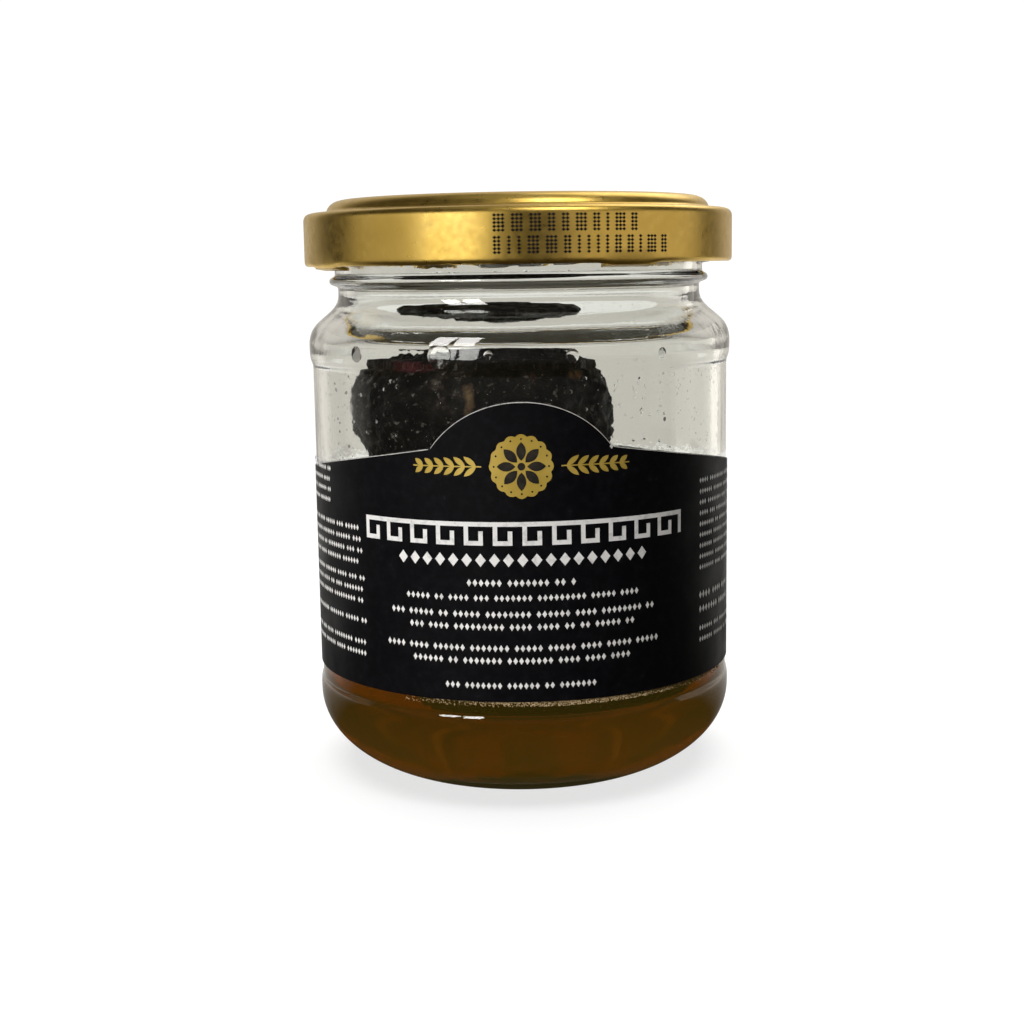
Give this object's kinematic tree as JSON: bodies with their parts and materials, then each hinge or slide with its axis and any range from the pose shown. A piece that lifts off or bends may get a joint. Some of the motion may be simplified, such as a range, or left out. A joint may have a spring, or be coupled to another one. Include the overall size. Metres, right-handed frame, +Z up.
{
  "type": "jar of whole summer truffle",
  "caption": "Round glass jar with a gold twist-off lid, holding whole black truffles in juice behind an arched paper label.",
  "frame": {"origin": "centre of the foot ring, on the surface the jar stands on", "axes": "+Z up along the jar's axis; -Y is the front, at the middle of the label's arch; +X is to the right seen from the front"},
  "size_m": [0.073, 0.073, 0.0969],
  "materials": {
    "clear_glass": "polished",
    "black_paper": "satin",
    "truffle_skin": "matte",
    "juice": "gloss",
    "gold_tinplate": "satin",
    "seal_compound": "satin"
  },
  "bodies": {
    "jar": {"glass_jar": "clear_glass", "label": "black_paper", "truffle_upper": "truffle_skin", "truffle_lower": "truffle_skin", "truffle_juice": "juice"},
    "seal": {"lid_seal": "seal_compound"},
    "lid": {"twist_off_lid": "gold_tinplate"}
  },
  "joints": [
    {"name": "lid_rise", "type": "slide", "parent": "jar", "child": "seal", "axis": [0, 0, 1], "range_m": [0, 0.00082]},
    {"name": "lid_twist", "type": "hinge", "parent": "seal", "child": "lid", "pos_m": [0, 0, 0.09], "axis": [0, 0, 1], "range_deg": [0, 43]}
  ],
  "couplings": [
    {"joint": "lid_rise", "follows": "lid_twist", "m_per_rad": 0.0010823}
  ]
}
